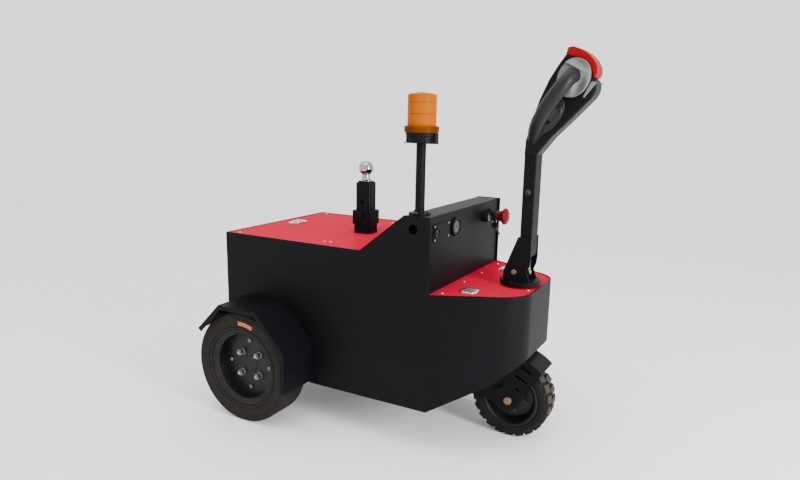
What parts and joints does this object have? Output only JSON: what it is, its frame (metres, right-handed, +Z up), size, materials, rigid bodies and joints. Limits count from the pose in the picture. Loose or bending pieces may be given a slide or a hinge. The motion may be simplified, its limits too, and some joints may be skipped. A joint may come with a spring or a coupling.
{
  "type": "pedestrian electric tow tug",
  "caption": "Walk-behind electric tow tractor with a dished steel body, steered front wheel under a tiller, tow ball post, dash controls and an amber beacon.",
  "frame": {"origin": "on the floor at the middle of the overall length, in the vehicle's middle plane", "axes": "+X towards the tiller end, +Y to the left side seen from behind the tow ball, +Z up"},
  "size_m": [1.1579, 0.826, 1.184],
  "materials": {
    "body_paint": "satin dark grey-blue paint",
    "deck_paint": "satin red paint",
    "wheel_paint": "satin black paint",
    "zinc_steel": "zinc-plated steel",
    "chrome": "polished chrome",
    "tyre_rubber": "black rubber",
    "black_plastic": "matt black plastic",
    "grey_plastic": "matt light grey plastic",
    "red_plastic": "glossy red plastic",
    "amber_lens": "translucent amber plastic",
    "cast_casing": "painted cast iron",
    "battery_case": "matt black plastic"
  },
  "bodies": {
    "chassis": {"rear_plate": "body_paint", "side_plate_right": "body_paint", "side_plate_left": "body_paint", "nose_plate": "body_paint", "belly_plate": "body_paint", "wheel_well_bulkhead": "body_paint", "rear_deck_lid": "deck_paint", "rear_deck_plate": "deck_paint", "riser_cover": "body_paint", "dash_panel": "body_paint", "front_deck_plate": "deck_paint", "front_deck_latches": "chrome", "rear_ring_latch": "chrome", "drive_axle": "cast_casing", "battery_pack": "battery_case", "fenders": "body_paint", "steering_head": "body_paint", "hitch_receiver": "body_paint", "hitch_post": "body_paint", "hitch_pin": "zinc_steel", "tow_ball": "chrome", "beacon_pole": "body_paint", "beacon_base": "black_plastic", "beacon_lens": "amber_lens", "charge_socket": "black_plastic", "battery_gauge": "black_plastic", "key_switch": "black_plastic", "emergency_stop": "red_plastic"},
    "rear_wheel_right": {"rear_tyre_right": "tyre_rubber", "rear_rim_right": "wheel_paint"},
    "rear_wheel_left": {"rear_tyre_left": "tyre_rubber", "rear_rim_left": "wheel_paint"},
    "steering": {"front_fork": "body_paint", "front_axle": "zinc_steel", "tiller_base": "body_paint", "tiller_pivot_pin": "zinc_steel"},
    "front_wheel": {"front_tyre": "tyre_rubber", "front_rim": "wheel_paint"},
    "spring_barrel": {"gas_spring_barrel": "black_plastic"},
    "spring_rod": {"gas_spring_rod": "chrome"},
    "tiller": {"tiller_arm": "body_paint", "head_housing": "black_plastic", "reverse_button": "red_plastic", "thumb_wheels": "grey_plastic", "hand_loops": "black_plastic"}
  },
  "joints": [
    {"name": "rear_wheel_right_spin", "type": "hinge", "parent": "chassis", "child": "rear_wheel_right", "pos_m": [-0.394, -0.3395, 0.182], "axis": [0, 1, 0], "continuous": true},
    {"name": "rear_wheel_left_spin", "type": "hinge", "parent": "chassis", "child": "rear_wheel_left", "pos_m": [-0.394, 0.3395, 0.182], "axis": [0, 1, 0], "continuous": true},
    {"name": "steer", "type": "hinge", "parent": "chassis", "child": "steering", "pos_m": [0.389, 0, 0.4], "axis": [0, 0, 1], "range_deg": [-90, 90]},
    {"name": "front_wheel_spin", "type": "hinge", "parent": "steering", "child": "front_wheel", "pos_m": [0.389, 0, 0.1255], "axis": [0, 1, 0], "continuous": true},
    {"name": "tiller_lean", "type": "hinge", "parent": "steering", "child": "tiller", "pos_m": [0.3784, 0, 0.532], "axis": [0, 1, 0], "range_deg": [0, 65]},
    {"name": "spring_swing", "type": "hinge", "parent": "steering", "child": "spring_barrel", "pos_m": [0.411, 0, 0.529], "axis": [0, 1, 0], "range_deg": [0, 70]},
    {"name": "spring_slide", "type": "slide", "parent": "spring_barrel", "child": "spring_rod", "axis": [0, 0, 1], "range_m": [-0.036, 0]}
  ],
  "couplings": [
    {"joint": "spring_swing", "follows": "tiller_lean", "ratio": 1.0631},
    {"joint": "spring_slide", "follows": "tiller_lean", "m_per_rad": -0.02938}
  ]
}
